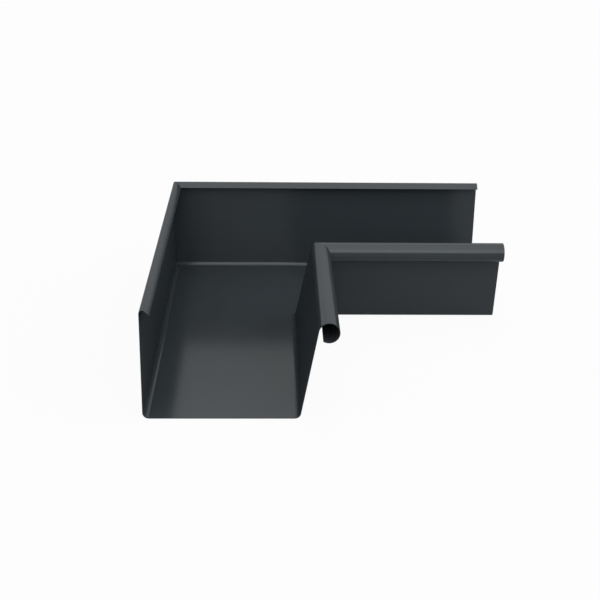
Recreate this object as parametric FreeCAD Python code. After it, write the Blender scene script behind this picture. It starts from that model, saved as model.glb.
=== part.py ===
import FreeCAD, Part
import math
import os

# Inside corner of a box gutter, folded from one coated steel sheet.
# Sizes are in millimetres and angles in degrees.
#
# Both arms have the same section. It runs from a narrow water fold down an upright
# rear wall, across a flat sole and up a front wall that leans outwards, and it ends in
# a rolled bead. The arms are cut at 45 degrees and meet in a sharp mitre.
#
# The origin is on the underside, where the centre lines of the two soles cross.
# One arm runs along +X and the other along -Y, and Z is up.

# The sheet and the arms.
SHEET_THICKNESS = 0.6
ARM_LENGTH = 302.0        # along the outside of the rear wall, from the corner to the open end

# The channel, measured over the outside of the sheet.
SOLE_WIDTH = 120.0        # between the outer faces of both walls where they would meet the underside
REAR_HEIGHT = 90.5        # from the underside to the top of the rear wall
FRONT_HEIGHT = 80.5       # from the underside to the top of the bead
FRONT_LEAN = 10.2         # of the front wall, outwards from upright
SOLE_BEND_RADIUS = 5.0    # outer radius of the bends on both sides of the sole

# The water fold along the top of the rear wall.
FOLD_FLAT = 5.2           # width of its flat strip
FOLD_SLOPE = 45.0         # downwards from level
FOLD_BEND_RADIUS = 2.7    # outer radius of its bend

# The bead along the top of the front wall.
BEAD_DIAMETER = 16.5      # over the outside of the roll
BEAD_SLOT = 4.5           # from its free edge to the outer face of the front wall


class FoldedStrip:
    """Section of a folded sheet, walked along its middle from one cut edge to the other.

    Each step adds one edge to the left face and one to the right face, so the
    thickness is the same everywhere. Section points are (inwards, up): inwards is
    the distance from the outer face of the rear wall.
    """

    def __init__(self, inwards, up, heading, thickness):
        self.inwards = inwards
        self.up = up
        self.heading = heading
        self.half = thickness / 2
        self.girth = 0.0
        self.left_edges = []
        self.right_edges = []
        self.start_sides = (self.side(1), self.side(-1))

    def side(self, sign):
        """Point on the left (1) or right (-1) face, square to the middle of the sheet."""
        across = math.radians(self.heading + 90 * sign)
        inwards = self.inwards + self.half * math.cos(across)
        up = self.up + self.half * math.sin(across)
        return section_point(inwards, up)

    def straight(self, length):
        """Walk straight on by the length."""
        before = (self.side(1), self.side(-1))
        self.inwards += length * math.cos(math.radians(self.heading))
        self.up += length * math.sin(math.radians(self.heading))
        after = (self.side(1), self.side(-1))
        self.left_edges.append(Part.LineSegment(before[0], after[0]).toShape())
        self.right_edges.append(Part.LineSegment(before[1], after[1]).toShape())
        self.girth += length

    def bend(self, outer_radius, turn):
        """Turn by the angle, to the left if it is positive, round a bend of this outer radius."""
        radius = outer_radius - self.half
        towards = 90 if turn > 0 else -90
        to_centre = math.radians(self.heading + towards)
        centre_inwards = self.inwards + radius * math.cos(to_centre)
        centre_up = self.up + radius * math.sin(to_centre)
        passed = [(self.side(1), self.side(-1))]
        for _ in range(2):
            self.heading += turn / 2
            from_centre = math.radians(self.heading - towards)
            self.inwards = centre_inwards + radius * math.cos(from_centre)
            self.up = centre_up + radius * math.sin(from_centre)
            passed.append((self.side(1), self.side(-1)))
        start, middle, end = passed
        self.left_edges.append(Part.Arc(start[0], middle[0], end[0]).toShape())
        self.right_edges.append(Part.Arc(start[1], middle[1], end[1]).toShape())
        self.girth += radius * math.radians(abs(turn))

    def face(self):
        """Close both faces with the two cut edges and fill the outline."""
        start_cut = Part.LineSegment(*self.start_sides).toShape()
        end_cut = Part.LineSegment(self.side(1), self.side(-1)).toShape()
        edges = self.left_edges + [end_cut] + self.right_edges[::-1] + [start_cut]
        return Part.Face(Part.Wire(Part.__sortEdges__(edges)))


def section_point(inwards, up):
    """Place a section point in the upright plane across the arm that runs along +X."""
    return FreeCAD.Vector(0, SOLE_WIDTH / 2 - inwards, up)


def gutter_section():
    """Walk the section from the edge of the water fold to the free edge of the bead."""
    half = SHEET_THICKNESS / 2
    front_turn = 90 - FRONT_LEAN
    front_tangent = SOLE_BEND_RADIUS * math.tan(math.radians(front_turn / 2))

    # The outer face of the front wall runs on as the inner face of the roll, so the
    # centre of the bead is one bore radius away from it.
    bead_radius = BEAD_DIAMETER / 2
    bead_bore_radius = bead_radius - SHEET_THICKNESS
    bead_height = FRONT_HEIGHT - bead_radius
    lean = math.radians(FRONT_LEAN)
    front_face = bead_height / math.cos(lean) + bead_bore_radius * math.tan(lean)
    bead_turn = 360 - math.degrees(math.acos((bead_bore_radius - BEAD_SLOT) / bead_radius))

    # The fold starts at its cut edge, so the walk begins one flat strip away from its bend.
    fold_heading = 180 - FOLD_SLOPE
    bend_exit = math.radians(fold_heading - 90)
    fold_middle = FOLD_BEND_RADIUS - half
    heading = math.radians(fold_heading)
    start_inwards = FOLD_BEND_RADIUS + fold_middle * math.cos(bend_exit) - FOLD_FLAT * math.cos(heading)
    start_height = (REAR_HEIGHT - FOLD_BEND_RADIUS
                    + fold_middle * math.sin(bend_exit) - FOLD_FLAT * math.sin(heading))

    strip = FoldedStrip(start_inwards, start_height, fold_heading, SHEET_THICKNESS)
    strip.straight(FOLD_FLAT)
    strip.bend(FOLD_BEND_RADIUS, 270 - fold_heading)
    strip.straight(REAR_HEIGHT - FOLD_BEND_RADIUS - SOLE_BEND_RADIUS)
    strip.bend(SOLE_BEND_RADIUS, 90)
    strip.straight(SOLE_WIDTH - SOLE_BEND_RADIUS - front_tangent)
    strip.bend(SOLE_BEND_RADIUS, front_turn)
    strip.straight(front_face - front_tangent)
    strip.bend(bead_radius, -bead_turn)
    return strip


def mitred_arm(section):
    """Extrude the section along +X and keep the part on its own side of the mitre plane."""
    arm = section.extrude(FreeCAD.Vector(ARM_LENGTH, 0, 0))
    arm.translate(FreeCAD.Vector(-SOLE_WIDTH / 2, 0, 0))
    # The kept side is where x + y is positive, a half space that starts at the mitre plane.
    reach = 2 * (ARM_LENGTH + SOLE_WIDTH)
    kept_side = Part.makeBox(reach, 2 * reach, 2 * reach, FreeCAD.Vector(0, -reach, -reach))
    kept_side.rotate(FreeCAD.Vector(0, 0, 0), FreeCAD.Vector(0, 0, 1), 45)
    return arm.common(kept_side)


def gutter_angle(section):
    """Join the mitred arm and its mirror image in the mitre plane into one solid."""
    arm = mitred_arm(section)
    other_arm = arm.mirror(FreeCAD.Vector(0, 0, 0), FreeCAD.Vector(1, 1, 0))
    return arm.fuse(other_arm).removeSplitter()


def single_solid(shape):
    """Take the one solid out of the joined shape, and stop if it isn't one sound piece."""
    if len(shape.Solids) != 1:
        raise ValueError("the angle has %d solids" % len(shape.Solids))
    solid = shape.Solids[0]
    if not solid.isValid():
        raise ValueError("the angle isn't a valid solid")
    return solid


def main():
    os.makedirs("parts", exist_ok=True)
    strip = gutter_section()
    angle = single_solid(gutter_angle(strip.face()))
    angle.exportStep("parts/gutter_angle.step")
    box = angle.BoundBox
    print("girth of the flat sheet %.1f mm" % strip.girth)
    print("volume %.1f mm3, faces %d" % (angle.Volume, len(angle.Faces)))
    print("box x %.2f to %.2f, y %.2f to %.2f, z %.2f to %.2f"
          % (box.XMin, box.XMax, box.YMin, box.YMax, box.ZMin, box.ZMax))


main()
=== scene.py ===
"""Looks of an internal box gutter angle: one coated steel sheet, folded, rolled and mitred.

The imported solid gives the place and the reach. This script builds the same sheet again as a
fine surface with true bends, dresses it in a semi-gloss coating and lights it in a plain studio.
Lengths are in metres and angles in degrees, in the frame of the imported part: one arm runs along
+X, the other along -Y, and Z is up.
"""

import enum
import logging
import math
from dataclasses import dataclass, field

import bpy
import numpy as np
from mathutils import Matrix, Vector


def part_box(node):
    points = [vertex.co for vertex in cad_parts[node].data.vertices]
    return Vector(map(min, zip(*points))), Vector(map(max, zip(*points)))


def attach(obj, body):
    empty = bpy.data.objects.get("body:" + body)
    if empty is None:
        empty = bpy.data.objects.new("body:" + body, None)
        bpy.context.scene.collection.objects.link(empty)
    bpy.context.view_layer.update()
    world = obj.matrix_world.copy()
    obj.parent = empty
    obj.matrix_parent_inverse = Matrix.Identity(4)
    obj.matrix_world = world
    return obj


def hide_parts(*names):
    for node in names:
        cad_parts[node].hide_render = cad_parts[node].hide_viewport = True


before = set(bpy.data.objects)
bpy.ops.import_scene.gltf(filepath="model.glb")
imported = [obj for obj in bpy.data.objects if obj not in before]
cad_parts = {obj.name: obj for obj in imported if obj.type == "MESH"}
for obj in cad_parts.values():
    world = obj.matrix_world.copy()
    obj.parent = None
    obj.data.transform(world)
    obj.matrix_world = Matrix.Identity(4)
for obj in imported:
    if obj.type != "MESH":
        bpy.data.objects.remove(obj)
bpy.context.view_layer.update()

MM = 0.001
NODE = "gutter_angle"

# The curve between screen colours and linear light.
CURVE_KNEE = 0.04045
CURVE_SLOPE = 12.92
CURVE_OFFSET = 0.055
CURVE_POWER = 2.4

log = logging.getLogger("gutter_angle")


class Turn(enum.Enum):
    """Which way a sheet turns, seen by someone who walks from the water fold to the bead."""

    LEFT = 1
    RIGHT = -1


@dataclass(frozen=True)
class Strip:
    """A folded sheet in section, as arrays with one entry for each point along its middle.

    across and up place a point in the section plane, heading is the way the sheet runs there
    in radians, and along is the length of flat sheet passed since the first cut edge.
    """

    across: np.ndarray
    up: np.ndarray
    heading: np.ndarray
    along: np.ndarray


@dataclass
class StripWalker:
    """Walks along the middle of a sheet and collects its points, one straight or bend at a time.

    heading is in radians. support is how far inside a straight its extra points lie, and
    bend_step is the widest step round a bend.
    """

    across: float
    up: float
    heading: float
    support: float = 0.25 * MM
    bend_step: float = math.radians(4.0)
    points: list[np.ndarray] = field(default_factory=list)
    along: float = 0.0

    def _store(self, *columns: np.ndarray) -> None:
        """Keep the points of one stretch, given as across, up, heading and along."""
        self.points.append(np.stack(columns, axis=1))

    def straight(self, length: float) -> None:
        """Walk straight on.

        Formula: start plus distance times (cos, sin) of the heading. A point just inside each
        end keeps the shading of a bend out of the flat.

        Args:
            length: How far to walk, in metres.
        """
        run = np.array([0.0, self.support, length - self.support])
        heading = np.full_like(run, self.heading)
        step_across, step_up = math.cos(self.heading), math.sin(self.heading)
        across = self.across + run * step_across
        up = self.up + run * step_up
        self._store(across, up, heading, self.along + run)
        self.across += length * step_across
        self.up += length * step_up
        self.along += length

    def bend(self, radius: float, angle: float, turn: Turn) -> None:
        """Walk round a bend.

        Formula: a circle of the given radius about the point square to the heading, run through
        the angle in equal steps.

        Args:
            radius: Radius at the middle of the sheet, in metres.
            angle: How far the sheet turns, in degrees.
            turn: Which way it turns.
        """
        sweep = math.radians(angle)
        steps = max(2, math.ceil(sweep / self.bend_step))
        passed = np.linspace(0.0, sweep, steps + 1)
        side = turn.value
        centre_across = self.across - side * radius * math.sin(self.heading)
        centre_up = self.up + side * radius * math.cos(self.heading)
        heading = self.heading + side * passed
        across = centre_across + side * radius * np.sin(heading)
        up = centre_up - side * radius * np.cos(heading)
        along = self.along + radius * passed
        self._store(across[:-1], up[:-1], heading[:-1], along[:-1])
        self.across, self.up, self.heading, self.along = (
            float(column[-1]) for column in (across, up, heading, along)
        )

    def finish(self) -> Strip:
        """Close the walk with the point it stands on.

        Returns:
            The strip with all its points in order.
        """
        last = np.array([[self.across, self.up, self.heading, self.along]])
        rows = np.concatenate(self.points + [last])
        return Strip(rows[:, 0], rows[:, 1], rows[:, 2], rows[:, 3])


@dataclass(frozen=True)
class GutterSection:
    """Section of the box gutter, measured over the outside of the sheet, in metres and degrees."""

    rear_height: float
    sole_width: float
    sheet: float = 0.6 * MM
    front_height: float = 80.5 * MM
    front_lean: float = 10.2
    sole_bend: float = 5.0 * MM
    fold_flat: float = 5.2 * MM
    fold_slope: float = 45.0
    fold_bend: float = 2.7 * MM
    bead_diameter: float = 16.5 * MM
    bead_slot: float = 4.5 * MM

    def strip(self) -> Strip:
        """Walk the section from the cut edge of the water fold to the free edge of the bead.

        Returns:
            The middle of the sheet, with its flats and its true bends.
        """
        half = self.sheet / 2
        lean = math.radians(self.front_lean)
        front_turn = 90.0 - self.front_lean
        front_tangent = self.sole_bend * math.tan(math.radians(front_turn / 2))
        bead_radius = self.bead_diameter / 2
        bore_radius = bead_radius - self.sheet
        bead_up = self.front_height - bead_radius
        front_face = bead_up / math.cos(lean) + bore_radius * math.tan(lean)
        bead_turn = 360.0 - math.degrees(math.acos((bore_radius - self.bead_slot) / bead_radius))

        heading = math.radians(180.0 - self.fold_slope)
        bend_exit = heading - math.pi / 2
        fold_middle = self.fold_bend - half
        exit_across = self.fold_bend + fold_middle * math.cos(bend_exit)
        exit_up = self.rear_height - self.fold_bend + fold_middle * math.sin(bend_exit)
        walker = StripWalker(
            across=exit_across - self.fold_flat * math.cos(heading),
            up=exit_up - self.fold_flat * math.sin(heading),
            heading=heading,
        )
        walker.straight(self.fold_flat)
        walker.bend(fold_middle, 90.0 + self.fold_slope, Turn.LEFT)
        walker.straight(self.rear_height - self.fold_bend - self.sole_bend)
        walker.bend(self.sole_bend - half, 90.0, Turn.LEFT)
        walker.straight(self.sole_width - self.sole_bend - front_tangent)
        walker.bend(self.sole_bend - half, front_turn, Turn.LEFT)
        walker.straight(front_face - front_tangent)
        walker.bend(bead_radius - half, bead_turn, Turn.RIGHT)
        return walker.finish()


@dataclass(frozen=True)
class SheetSkin:
    """The outline of a sheet in section: both faces and the worn-off corners of its cut edges.

    across, up and along have one entry for each point of the closed outline, and cut is 1 on
    the two cut edges and 0 elsewhere. face_points is how many points lie on each face.
    """

    across: np.ndarray
    up: np.ndarray
    along: np.ndarray
    cut: np.ndarray
    face_points: int


@dataclass
class GutterAngle:
    """The one sheet of the angle, mitred at the corner.

    arm_length runs along the rear wall, and corner is how far the rear walls stand from the
    origin. stations are the shares of each arm at which the section is set. An edge is shaded
    sharp where its two faces turn by more than sharp_from degrees.
    """

    section: GutterSection
    arm_length: float
    corner: float
    edge_radius: float = 0.09 * MM
    stations: tuple[float, ...] = (0.0, 0.004, 0.25, 0.5, 0.75, 0.996, 1.0)
    sharp_from: float = 30.0

    def skin(self, inset: float) -> SheetSkin:
        """Outline the sheet, drawn in from both of its faces by the inset.

        Formula: each face is the middle of the sheet moved square to its heading by half the
        thickness, less the inset. At the two cut edges the corners are taken off by the edge
        radius, so they carry a fine bevel.

        Args:
            inset: How far the outline lies inside the sheet, in metres.

        Returns:
            The closed outline, left face first.
        """
        strip = self.section.strip()
        half = self.section.sheet / 2 - inset
        taper = np.zeros_like(strip.across)
        taper[[0, -1]] = self.edge_radius
        reach = np.zeros_like(strip.across)
        reach[0], reach[-1] = inset, -inset
        normal = strip.heading + math.pi / 2
        middle_across = strip.across + reach * np.cos(strip.heading)
        middle_up = strip.up + reach * np.sin(strip.heading)
        faces = []
        for side in (1.0, -1.0):
            offset = side * (half - taper)
            faces.append((
                middle_across + offset * np.cos(normal),
                middle_up + offset * np.sin(normal),
            ))
        across = np.concatenate([faces[0][0], faces[1][0][::-1]])
        up = np.concatenate([faces[0][1], faces[1][1][::-1]])
        along = np.concatenate([strip.along, strip.along[::-1]])
        edge = (taper > 0).astype(float)
        cut = np.concatenate([edge, edge[::-1]])
        return SheetSkin(across, up, along, cut, len(strip.across))

    def rings(self) -> tuple[np.ndarray, np.ndarray, np.ndarray]:
        """Carry the outline along the path of both arms.

        Formula: a point that lies a distance inwards from the rear wall starts on the mitre at
        that same distance along the arm, and runs straight to the arm's open end. The arm along
        -Y is the mirror image in the mitre plane.

        Returns:
            Points as (ring, outline point, xyz), the length run from the mitre with a sign for
            the arm, and the cut mask, both as (ring, outline point).
        """
        full = self.skin(0.0)
        drawn_in = self.skin(self.edge_radius)
        end = self.arm_length
        reach = end - self.edge_radius - full.across
        lengths = [full.across + reach * share for share in self.stations]
        outlines = [full] * len(lengths) + [drawn_in]
        cuts = [full.cut] * len(lengths) + [np.ones_like(full.cut)]
        lengths.append(np.full_like(full.across, end))

        arm = [
            np.stack([run - self.corner, self.corner - outline.across, outline.up], axis=1)
            for run, outline in zip(lengths, outlines)
        ]
        mirrored = [
            np.stack([-points[:, 1], -points[:, 0], points[:, 2]], axis=1) for points in arm
        ]
        points = np.stack(mirrored[:0:-1] + arm)
        along_arm = np.stack([-run for run in lengths[:0:-1]] + lengths)
        cut = np.stack(cuts[:0:-1] + cuts)
        return points, along_arm, cut

    def build(self, name: str) -> bpy.types.Object:
        """Make the mesh of the angle.

        Formula: quads between neighbouring rings and neighbouring outline points, and at each
        open end a ladder of quads between the sheet's two faces.

        Args:
            name: Name of the object and its mesh.

        Returns:
            The linked object, at the origin, with a UV map in metres of flat sheet and a
            point attribute that marks the cut edges.
        """
        points, along_arm, cut = self.rings()
        outline = self.skin(0.0)
        rings, count = points.shape[:2]
        index = np.arange(rings * count).reshape(rings, count)
        after = np.roll(index, -1, axis=1)
        sides = np.stack([index[:-1], index[1:], after[1:], after[:-1]], axis=-1).reshape(-1, 4)
        half = outline.face_points
        left = np.arange(half)
        right = count - 1 - left
        ladder = np.stack([left[:-1], left[1:], right[1:], right[:-1]], axis=-1)
        last = ladder + index[-1, 0]
        quads = np.concatenate([sides, ladder, last[:, ::-1]])

        mesh = bpy.data.meshes.new(name)
        mesh.from_pydata(points.reshape(-1, 3).tolist(), [], quads.tolist())
        self._point_outwards(mesh)
        self._smooth_bends(mesh, rings, count)
        self._add_layers(mesh, along_arm, np.tile(outline.along, (rings, 1)), cut)
        mesh.validate()
        piece = bpy.data.objects.new(name, mesh)
        bpy.context.scene.collection.objects.link(piece)
        return piece

    @staticmethod
    def _point_outwards(mesh: bpy.types.Mesh) -> None:
        """Turn all faces over if the closed mesh holds a negative volume."""
        mesh.calc_loop_triangles()
        corners = np.empty(len(mesh.loop_triangles) * 3, dtype=np.int32)
        mesh.loop_triangles.foreach_get("vertices", corners)
        places = np.empty(len(mesh.vertices) * 3)
        mesh.vertices.foreach_get("co", places)
        a, b, c = np.moveaxis(places.reshape(-1, 3)[corners.reshape(-1, 3)], 1, 0)
        if np.einsum("ij,ij->i", a, np.cross(b, c)).sum() < 0:
            mesh.flip_normals()

    def _smooth_bends(self, mesh: bpy.types.Mesh, rings: int, count: int) -> None:
        """Shade the bends smooth, and keep the cut edges and the mitre sharp.

        Args:
            mesh: The mesh of the angle.
            rings: How many rings the sweep has.
            count: How many points each ring has.
        """
        mesh.shade_smooth()
        mesh.set_sharp_from_angle(angle=math.radians(self.sharp_from))
        mitre = rings // 2
        ends = np.empty(len(mesh.edges) * 2, dtype=np.int32)
        mesh.edges.foreach_get("vertices", ends)
        on_mitre = (ends.reshape(-1, 2) // count == mitre).all(axis=1)
        sharp = mesh.attributes.get("sharp_edge")
        if sharp is None:
            sharp = mesh.attributes.new("sharp_edge", "BOOLEAN", "EDGE")
        marked = np.empty(len(mesh.edges), dtype=bool)
        sharp.data.foreach_get("value", marked)
        sharp.data.foreach_set("value", marked | on_mitre)

    @staticmethod
    def _add_layers(mesh: bpy.types.Mesh, along_arm: np.ndarray, along_girth: np.ndarray,
                    cut: np.ndarray) -> None:
        """Store the UV map of the flat sheet and the mask of the cut edges.

        Args:
            mesh: The mesh of the angle.
            along_arm: Length along the arm for each vertex, in metres.
            along_girth: Length round the section for each vertex, in metres.
            cut: Mask of the cut edges for each vertex.
        """
        loops = np.empty(len(mesh.loops), dtype=np.int32)
        mesh.loops.foreach_get("vertex_index", loops)
        flat = np.stack([along_arm.ravel(), along_girth.ravel()], axis=1)
        layer = mesh.uv_layers.new(name="flat_sheet")
        layer.data.foreach_set("uv", flat[loops].astype(np.float32).ravel())
        mask = mesh.attributes.new("cut_edge", "FLOAT", "POINT")
        mask.data.foreach_set("value", cut.ravel().astype(np.float32))


def hex_colour(code: str) -> tuple[float, float, float, float]:
    """Turn a screen colour code such as 3a4044 into linear light with full alpha.

    Args:
        code: Six hexadecimal digits, red first.

    Returns:
        Linear red, green, blue and alpha.
    """
    channels = np.array([int(code[at:at + 2], 16) for at in (0, 2, 4)]) / 255.0
    bent = ((channels + CURVE_OFFSET) / (1.0 + CURVE_OFFSET)) ** CURVE_POWER
    linear = np.where(channels <= CURVE_KNEE, channels / CURVE_SLOPE, bent)
    return (*linear.tolist(), 1.0)


class NodeSheet:
    """A thin helper that adds and joins nodes in one node tree."""

    def __init__(self, tree: bpy.types.NodeTree) -> None:
        """Start on an existing tree."""
        self.tree = tree

    def add(self, kind: str, **settings: object) -> bpy.types.Node:
        """Add a node and set its own properties.

        Args:
            kind: Blender's type name of the node.
            **settings: Properties of the node by name.

        Returns:
            The new node.
        """
        node = self.tree.nodes.new(kind)
        for name, value in settings.items():
            setattr(node, name, value)
        return node

    def join(self, source: bpy.types.NodeSocket, target: bpy.types.NodeSocket) -> None:
        """Join an output to an input."""
        self.tree.links.new(source, target)

    def map_range(self, source: bpy.types.NodeSocket, low: float, high: float,
                  to_low: float = 0.0, to_high: float = 1.0,
                  smooth: bool = False) -> bpy.types.NodeSocket:
        """Map one range of values to another.

        Args:
            source: The value to map.
            low: Where the source range starts.
            high: Where the source range ends.
            to_low: The result at low.
            to_high: The result at high.
            smooth: Whether the ends ease in and out.

        Returns:
            The mapped value.
        """
        kind = "SMOOTHSTEP" if smooth else "LINEAR"
        node = self.add("ShaderNodeMapRange", interpolation_type=kind)
        self.join(source, node.inputs["Value"])
        limits = {"From Min": low, "From Max": high, "To Min": to_low, "To Max": to_high}
        for name, value in limits.items():
            node.inputs[name].default_value = value
        return node.outputs["Result"]

    def math(self, operation: str, first: bpy.types.NodeSocket | float,
             second: bpy.types.NodeSocket | float = 0.0) -> bpy.types.NodeSocket:
        """Work out one step of arithmetic on values or sockets.

        Args:
            operation: Blender's name of the operation.
            first: The first value or socket.
            second: The second value or socket.

        Returns:
            The result.
        """
        node = self.add("ShaderNodeMath", operation=operation)
        for at, value in enumerate((first, second)):
            if isinstance(value, (int, float)):
                node.inputs[at].default_value = value
            else:
                self.join(value, node.inputs[at])
        return node.outputs["Value"]

    def eased_steps(self, strength: float,
                    steps: list[tuple[bpy.types.NodeSocket, float, float]]) -> bpy.types.NodeSocket:
        """Multiply a strength by eased steps.

        Args:
            strength: The result where every step is full.
            steps: For each step an angle in radians, and the angles in degrees at which the
                step is nothing and full.

        Returns:
            The product.
        """
        level: bpy.types.NodeSocket | float = strength
        for angle, nothing, full in steps:
            step = self.map_range(angle, math.radians(nothing), math.radians(full), smooth=True)
            level = self.math("MULTIPLY", step, level)
        return level

    def noise(self, vector: bpy.types.NodeSocket, scale: float,
              detail: float) -> bpy.types.NodeSocket:
        """Fractal noise from 0 to 1.

        Args:
            vector: Where the noise is read.
            scale: Features in each metre.
            detail: Number of finer layers.

        Returns:
            The noise value.
        """
        node = self.add("ShaderNodeTexNoise")
        self.join(vector, node.inputs["Vector"])
        node.inputs["Scale"].default_value = scale
        node.inputs["Detail"].default_value = detail
        return node.outputs["Fac"]


@dataclass(frozen=True)
class CoatedSteel:
    """Semi-gloss dark grey coating on sheet steel, with a fine orange peel and dark cut edges.

    At glancing angles the gloss falls to glancing_level, and the reflections grow hazy. The
    starts and ends of both are on Layer Weight's Facing scale, from 0 face on to 1 edge on.
    Scales are features in each metre, and the shares say how much each noise mixes the colours.
    """

    colour: str = "23272a"
    light_grain: str = "262b2e"
    cut_colour: str = "0c0e0f"
    roughness: float = 0.175
    roughness_spread: float = 0.02
    cut_roughness: float = 0.55
    specular_level: float = 0.19
    glancing_level: float = 0.04
    glancing_start: float = 0.57
    glancing_end: float = 0.72
    haze_roughness: float = 0.42
    haze_start: float = 0.74
    haze_end: float = 0.86
    peel_scale: float = 900.0
    peel_height: float = 0.0012 * MM
    grain_scale: float = 5200.0
    grain_height: float = 0.0003 * MM
    cloud_scale: float = 22.0
    roller_scale: tuple[float, float, float] = (5.0, 60.0, 1.0)
    grain_share: float = 0.5
    cloud_share: float = 0.3
    roller_share: float = 0.2
    colour_window: tuple[float, float] = (0.35, 0.65)
    roughness_window: tuple[float, float] = (0.3, 0.7)
    rich_detail: float = 2.0
    plain_detail: float = 1.0

    def material(self, name: str) -> bpy.types.Material:
        """Make the material.

        Args:
            name: Name of the material.

        Returns:
            The node material, which reads Object coordinates, the UV map of the flat sheet and
            the mask of the cut edges.
        """
        material = bpy.data.materials.new(name)
        material.use_nodes = True
        sheet = NodeSheet(material.node_tree)
        sheet.tree.nodes.clear()
        output = sheet.add("ShaderNodeOutputMaterial")
        shader = sheet.add("ShaderNodeBsdfPrincipled")
        sheet.join(shader.outputs["BSDF"], output.inputs["Surface"])
        facing = sheet.add("ShaderNodeLayerWeight").outputs["Facing"]
        gloss = sheet.map_range(facing, self.glancing_start, self.glancing_end,
                                self.specular_level, self.glancing_level, smooth=True)
        sheet.join(gloss, shader.inputs["Specular IOR Level"])

        place = sheet.add("ShaderNodeTexCoord").outputs["Object"]
        peel = sheet.noise(place, self.peel_scale, self.rich_detail)
        grain = sheet.noise(place, self.grain_scale, self.plain_detail)
        cloud = sheet.noise(place, self.cloud_scale, self.rich_detail)
        flat = sheet.add("ShaderNodeUVMap", uv_map="flat_sheet").outputs["UV"]
        stretch = sheet.add("ShaderNodeMapping")
        stretch.inputs["Scale"].default_value = self.roller_scale
        sheet.join(flat, stretch.inputs["Vector"])
        roller = sheet.noise(stretch.outputs["Vector"], 1.0, self.plain_detail)
        cut = sheet.add("ShaderNodeAttribute", attribute_name="cut_edge").outputs["Fac"]

        speckle: bpy.types.NodeSocket | float = 0.0
        shares = ((grain, self.grain_share), (cloud, self.cloud_share), (roller, self.roller_share))
        for noise, share in shares:
            part = sheet.map_range(noise, *self.colour_window, 0.0, share)
            speckle = sheet.math("ADD", part, speckle)
        coat = self._blend(sheet, speckle, self.colour, self.light_grain)
        edge = self._blend(sheet, cut, coat, self.cut_colour)
        sheet.join(edge, shader.inputs["Base Color"])

        swing = (-self.roughness_spread / 2, self.roughness_spread / 2)
        uneven = sheet.math("ADD", sheet.map_range(peel, *self.roughness_window, *swing),
                            sheet.map_range(roller, *self.roughness_window, *swing))
        hazy = sheet.map_range(facing, self.haze_start, self.haze_end,
                               self.roughness, self.haze_roughness, smooth=True)
        rough = sheet.math("ADD", uneven, hazy)
        bare = sheet.math("MULTIPLY", cut, self.cut_roughness - self.roughness)
        sheet.join(sheet.math("ADD", rough, bare), shader.inputs["Roughness"])

        fine = self._bump(sheet, grain, self.grain_height, None)
        coarse = self._bump(sheet, peel, self.peel_height, fine)
        sheet.join(coarse, shader.inputs["Normal"])
        return material

    @staticmethod
    def _blend(sheet: NodeSheet, factor: bpy.types.NodeSocket,
               first: bpy.types.NodeSocket | str, second: str) -> bpy.types.NodeSocket:
        """Blend two colours by a factor.

        Args:
            sheet: The material's nodes.
            factor: How much of the second colour there is.
            first: The first colour, as a socket or a screen colour code.
            second: The second colour, as a screen colour code.

        Returns:
            The blended colour.
        """
        mix = sheet.add("ShaderNodeMix", data_type="RGBA")
        sheet.join(factor, mix.inputs["Factor"])
        if isinstance(first, str):
            mix.inputs["A"].default_value = hex_colour(first)
        else:
            sheet.join(first, mix.inputs["A"])
        mix.inputs["B"].default_value = hex_colour(second)
        return mix.outputs["Result"]

    @staticmethod
    def _bump(sheet: NodeSheet, height: bpy.types.NodeSocket, distance: float,
              under: bpy.types.NodeSocket | None) -> bpy.types.NodeSocket:
        """Raise the surface by a height times a distance, over another bump if there is one."""
        bump = sheet.add("ShaderNodeBump")
        bump.inputs["Distance"].default_value = distance
        sheet.join(height, bump.inputs["Height"])
        if under is not None:
            sheet.join(under, bump.inputs["Normal"])
        return bump.outputs["Normal"]


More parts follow.
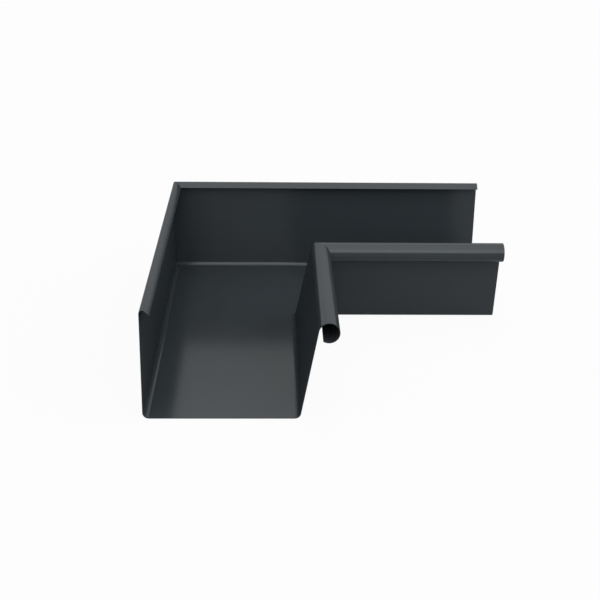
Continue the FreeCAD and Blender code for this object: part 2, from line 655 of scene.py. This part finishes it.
@dataclass(frozen=True)
class StudioFloor:
    """A plain pale floor under the object, lifted towards white where it is looked at.

    lift is the share of plain white in what the camera and see-through rays get, and
    mirrored_lift the share in what reflections get. The rest is the floor's own paint, which
    keeps the object's shadow.
    """

    reach: float = 12.0
    colour: str = "a6a6a6"
    roughness: float = 0.9
    lift: float = 0.94
    mirrored_lift: float = 0.35

    def build(self) -> bpy.types.Object:
        """Lay the floor at the height of the sole's underside.

        Returns:
            The linked floor.
        """
        mesh = bpy.data.meshes.new("studio_floor")
        corners = [(-self.reach, -self.reach, 0.0), (self.reach, -self.reach, 0.0),
                   (self.reach, self.reach, 0.0), (-self.reach, self.reach, 0.0)]
        mesh.from_pydata(corners, [], [(0, 1, 2, 3)])
        floor = bpy.data.objects.new("studio_floor", mesh)
        bpy.context.scene.collection.objects.link(floor)
        mesh.materials.append(self.paint("floor_paint"))
        return floor

    def paint(self, name: str) -> bpy.types.Material:
        """Make the floor's material.

        Args:
            name: Name of the material.

        Returns:
            Matt paint, mixed with plain white for rays that look at the floor.
        """
        material = bpy.data.materials.new(name)
        material.use_nodes = True
        sheet = NodeSheet(material.node_tree)
        sheet.tree.nodes.clear()
        output = sheet.add("ShaderNodeOutputMaterial")
        matt = sheet.add("ShaderNodeBsdfPrincipled")
        matt.inputs["Base Color"].default_value = hex_colour(self.colour)
        matt.inputs["Roughness"].default_value = self.roughness
        matt.inputs["Specular IOR Level"].default_value = 0.0
        white = sheet.add("ShaderNodeEmission")
        white.inputs["Strength"].default_value = 1.0
        ray = sheet.add("ShaderNodeLightPath").outputs
        looked_at = sheet.math("MAXIMUM", ray["Is Camera Ray"], ray["Is Transmission Ray"])
        plain = sheet.math("MULTIPLY", looked_at, self.lift)
        mirrored = sheet.math("MULTIPLY", ray["Is Glossy Ray"], self.mirrored_lift)
        mix = sheet.add("ShaderNodeMixShader")
        sheet.join(sheet.math("MAXIMUM", plain, mirrored), mix.inputs["Fac"])
        sheet.join(matt.outputs["BSDF"], mix.inputs[1])
        sheet.join(white.outputs["Emission"], mix.inputs[2])
        sheet.join(mix.outputs["Shader"], output.inputs["Surface"])
        return material


@dataclass(frozen=True)
class SoftPanel:
    """A soft light panel far away, as a patch of the studio dome.

    azimuth counts from straight in front of the object towards its right, and foot and top are
    elevations. All are in degrees. strength is how much it adds to the dome's own light.
    """

    azimuth: float
    half_width: float
    foot: float
    top: float
    strength: float
    blur: float = 5.0

    def glow(self, sheet: NodeSheet, direction: bpy.types.NodeSocket) -> bpy.types.NodeSocket:
        """Work out the panel's light for a direction.

        Formula: the strength times three eased steps, one for the angle to the panel's middle,
        one for the height above its foot and one for the height below its top.

        Args:
            sheet: The world's nodes.
            direction: The direction as a unit vector.

        Returns:
            The light that the panel adds in that direction.
        """
        turned = sheet.add("ShaderNodeVectorRotate", rotation_type="Z_AXIS")
        turned.inputs["Angle"].default_value = -math.radians(self.azimuth)
        sheet.join(direction, turned.inputs["Vector"])
        split = sheet.add("ShaderNodeSeparateXYZ")
        sheet.join(turned.outputs["Vector"], split.inputs["Vector"])
        ahead = sheet.math("MULTIPLY", split.outputs["Y"], -1.0)
        aside = sheet.math("ABSOLUTE", sheet.math("ARCTAN2", split.outputs["X"], ahead))
        height = sheet.math("ARCSINE", split.outputs["Z"])
        return sheet.eased_steps(self.strength, [
            (aside, self.half_width + self.blur, self.half_width - self.blur),
            (height, self.foot - self.blur / 2, self.foot + self.blur / 2),
            (height, self.top + self.blur, self.top - self.blur),
        ])


@dataclass(frozen=True)
class LightBank:
    """A long bank of soft light that arches over the object from its front to its back.

    start and end are angles in degrees, from the horizon in front (0) over the top (90) to the
    horizon behind (180). middle is how far the arch stands to the right of straight ahead, and
    half_width how far the bank reaches to each side of it.
    """

    start: float
    end: float
    strength: float
    middle: float = 2.0
    half_width: float = 12.5
    start_blur: float = 2.0
    end_blur: float = 4.0
    side_blur: float = 3.0

    def glow(self, sheet: NodeSheet, direction: bpy.types.NodeSocket) -> bpy.types.NodeSocket:
        """Work out the bank's light for a direction.

        Formula: the strength times three eased steps, one for the angle to the arch and one for
        each end of the run along it.

        Args:
            sheet: The world's nodes.
            direction: The direction as a unit vector.

        Returns:
            The light that the bank adds in that direction.
        """
        split = sheet.add("ShaderNodeSeparateXYZ")
        sheet.join(direction, split.inputs["Vector"])
        ahead = sheet.math("MULTIPLY", split.outputs["Y"], -1.0)
        run = sheet.math("ARCTAN2", split.outputs["Z"], ahead)
        rightwards = sheet.math("ARCSINE", split.outputs["X"])
        off_middle = sheet.math("SUBTRACT", rightwards, math.radians(self.middle))
        aside = sheet.math("ABSOLUTE", off_middle)
        return sheet.eased_steps(self.strength, [
            (aside, self.half_width + self.side_blur, self.half_width - self.side_blur),
            (run, self.start - self.start_blur / 2, self.start + self.start_blur / 2),
            (run, self.end + self.end_blur / 2, self.end - self.end_blur / 2),
        ])


@dataclass(frozen=True)
class StudioDome:
    """Soft light from all round, with a few soft panels in it."""

    ambient: float = 0.28
    panels: tuple[SoftPanel | LightBank, ...] = (
        LightBank(start=14.0, end=108.0, strength=3.9, end_blur=8.0),
        LightBank(start=108.0, end=150.0, strength=2.1, start_blur=8.0, end_blur=16.0),
        SoftPanel(azimuth=4.0, half_width=60.0, foot=8.0, top=50.0, strength=2.4, blur=6.0),
        SoftPanel(azimuth=4.0, half_width=60.0, foot=50.0, top=78.0, strength=0.6, blur=6.0),
        SoftPanel(azimuth=180.0, half_width=42.0, foot=0.0, top=26.0, strength=0.65),
        SoftPanel(azimuth=92.0, half_width=38.0, foot=10.0, top=62.0, strength=2.9),
        SoftPanel(azimuth=-82.0, half_width=35.0, foot=20.0, top=70.0, strength=1.5),
    )

    def light(self, scene: bpy.types.Scene) -> None:
        """Fill the world with the dome.

        Formula: the ambient light plus the light of each panel.

        Args:
            scene: The scene that gets the world.
        """
        world = bpy.data.worlds.new("studio_dome")
        world.use_nodes = True
        sheet = NodeSheet(world.node_tree)
        sheet.tree.nodes.clear()
        output = sheet.add("ShaderNodeOutputWorld")
        background = sheet.add("ShaderNodeBackground")
        sheet.join(background.outputs["Background"], output.inputs["Surface"])
        direction = sheet.add("ShaderNodeTexCoord").outputs["Generated"]
        level: bpy.types.NodeSocket | float = self.ambient
        for panel in self.panels:
            level = sheet.math("ADD", panel.glow(sheet, direction), level)
        sheet.join(level, background.inputs["Strength"])
        scene.world = world


@dataclass(frozen=True)
class PhotoCamera:
    """The camera at the photograph's viewing angle.

    focal, frame_width and axis_height are in pixels of the photograph's 600 by 600 frame. The
    photograph's upright edges hardly lean towards each other, as with a lens that is shifted down,
    and axis_height is how far its axis passes above the middle of the frame.
    """

    place: tuple[float, float, float] = (37.2 * MM, -973.6 * MM, 433.7 * MM)
    pitch: float = 19.85
    yaw: float = 1.600
    roll: float = 0.830
    focal: float = 1094.3
    frame_width: float = 600.0
    axis_height: float = 90.0
    sensor_width: float = 36.0

    def build(self, scene: bpy.types.Scene) -> bpy.types.Object:
        """Make the camera and look through it.

        Formula: the view runs level along the yaw from +Y and is tipped down by the pitch, and
        the picture is then turned about it by the roll.

        Args:
            scene: The scene that looks through the camera.

        Returns:
            The linked camera.
        """
        pitch, yaw, roll = (math.radians(angle) for angle in (self.pitch, self.yaw, self.roll))
        forwards = Vector((math.sin(yaw), math.cos(yaw), 0.0))
        ahead = forwards * math.cos(pitch) - Vector((0.0, 0.0, math.sin(pitch)))
        level = Vector((math.cos(yaw), -math.sin(yaw), 0.0))
        upright = level.cross(ahead)
        right = level * math.cos(roll) + upright * math.sin(roll)
        top = upright * math.cos(roll) - level * math.sin(roll)
        turned = Matrix((right, top, -ahead)).transposed().to_4x4()
        data = bpy.data.cameras.new("photo_camera")
        data.sensor_width = self.sensor_width
        data.lens = self.sensor_width * self.focal / self.frame_width
        data.shift_y = -self.axis_height / self.frame_width
        camera = bpy.data.objects.new("photo_camera", data)
        camera.matrix_world = Matrix.Translation(self.place) @ turned
        scene.collection.objects.link(camera)
        scene.camera = camera
        return camera


def main() -> None:
    """Build the angle, its finish and the studio, and report each piece."""
    logging.basicConfig(level=logging.INFO, format="%(name)s: %(message)s")
    scene = bpy.context.scene
    scene.view_settings.view_transform = "Standard"

    low, high = (Vector(corner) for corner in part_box(NODE))
    sole_width = -2.0 * low.x
    section = GutterSection(rear_height=high.z, sole_width=sole_width)
    angle = GutterAngle(section, arm_length=high.x - low.x, corner=sole_width / 2)
    piece = angle.build("gutter_angle_sheet")
    piece.data.materials.append(CoatedSteel().material("coated_steel_finish"))
    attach(piece, "root")
    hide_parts(NODE)
    girth = section.strip().along[-1] / MM
    log.info("sheet with %d faces, %.1f mm of girth", len(piece.data.polygons), girth)

    StudioFloor().build()
    log.info("floor at the height of the sole")
    StudioDome().light(scene)
    log.info("studio dome")
    camera = PhotoCamera().build(scene)
    log.info("camera with a lens of %.1f mm", camera.data.lens)


if __name__ == "__main__":
    main()
